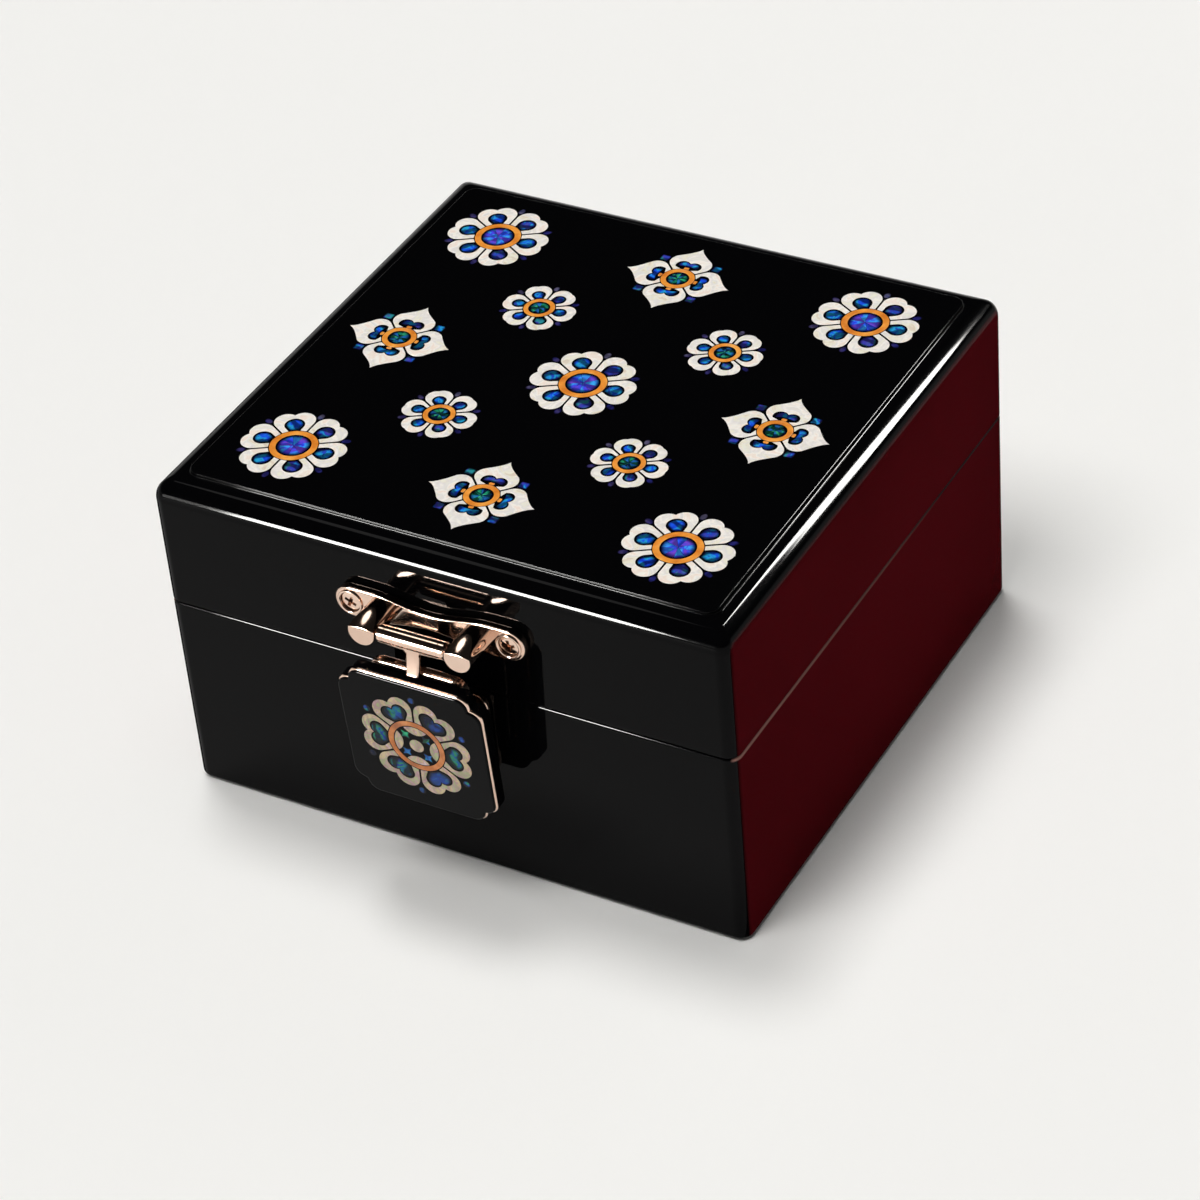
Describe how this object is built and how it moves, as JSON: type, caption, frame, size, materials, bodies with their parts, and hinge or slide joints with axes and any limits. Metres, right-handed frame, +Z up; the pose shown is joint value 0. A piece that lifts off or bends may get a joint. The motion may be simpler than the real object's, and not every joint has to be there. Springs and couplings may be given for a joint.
{
  "type": "jewelry box",
  "caption": "Square black lacquer jewelry box with shell-inlaid hinged lid, hanging metal hasp clasp, velvet-lined well, ring rolls and lid mirror.",
  "frame": {"origin": "centre of the flat face that the box rests on, midway between the box's outer walls", "axes": "+Z up, +X to the right seen from the front; the clasp faces -Y and the hinges are on the +Y side"},
  "size_m": [0.13, 0.1437, 0.0775],
  "materials": {
    "black_lacquer": "polished black lacquer over wood",
    "tile_lacquer": "polished black lacquer",
    "mother_of_pearl": "polished shell with a faint play of colour",
    "amber_shell": "polished amber shell",
    "velvet": "dark red velvet over card and foam",
    "felt": "black felt",
    "mirror_glass": "silvered glass",
    "rose_gold": "polished rose gold plating",
    "steel": "nickel plated"
  },
  "bodies": {
    "base": {"base_shell": "black_lacquer", "underside_felt": "felt", "base_wall_lining": "velvet", "base_floor_pad": "velvet", "well_divider": "velvet", "ring_roll_1": "velvet", "ring_roll_2": "velvet", "ring_roll_3": "velvet", "ring_roll_4": "velvet", "left_hinge_base_leaf": "rose_gold", "right_hinge_base_leaf": "rose_gold", "left_hinge_pin": "rose_gold", "right_hinge_pin": "rose_gold", "keeper_plate": "rose_gold", "keeper_steel": "steel"},
    "lid": {"lid_shell": "black_lacquer", "lid_panel": "black_lacquer", "rosette_centre": "mother_of_pearl", "rosette_front_left": "mother_of_pearl", "rosette_back_left": "mother_of_pearl", "rosette_front_right": "mother_of_pearl", "rosette_back_right": "mother_of_pearl", "star_front": "mother_of_pearl", "star_back": "mother_of_pearl", "star_left": "mother_of_pearl", "star_right": "mother_of_pearl", "blossom_front_left": "mother_of_pearl", "blossom_back_left": "mother_of_pearl", "blossom_front_right": "mother_of_pearl", "blossom_back_right": "mother_of_pearl", "rosette_centre_ring": "amber_shell", "rosette_front_left_ring": "amber_shell", "rosette_back_left_ring": "amber_shell", "rosette_front_right_ring": "amber_shell", "rosette_back_right_ring": "amber_shell", "star_front_ring": "amber_shell", "star_back_ring": "amber_shell", "star_left_ring": "amber_shell", "star_right_ring": "amber_shell", "blossom_front_left_ring": "amber_shell", "blossom_back_left_ring": "amber_shell", "blossom_front_right_ring": "amber_shell", "blossom_back_right_ring": "amber_shell", "lid_wall_lining": "velvet", "mirror_backing": "velvet", "lid_mirror": "mirror_glass", "mirror_frame": "velvet", "left_hinge_lid_leaf": "rose_gold", "right_hinge_lid_leaf": "rose_gold", "hasp_plate": "rose_gold", "hasp_plate_screw_left": "rose_gold", "hasp_plate_screw_right": "rose_gold", "hasp_pin": "steel"},
    "hasp": {"hasp_tongue": "rose_gold", "hasp_magnet": "steel", "tile_housing": "rose_gold", "clasp_tile": "tile_lacquer", "tile_rosette": "mother_of_pearl", "tile_ring": "amber_shell"}
  },
  "joints": [
    {"name": "lid_hinge", "type": "hinge", "parent": "base", "child": "lid", "pos_m": [0, 0.0649, 0.0472], "axis": [-1, 0, 0], "range_deg": [0, 100]},
    {"name": "hasp_hinge", "type": "hinge", "parent": "lid", "child": "hasp", "pos_m": [0, -0.0712, 0.0624], "axis": [-1, 0, 0], "range_deg": [0, 180]}
  ]
}
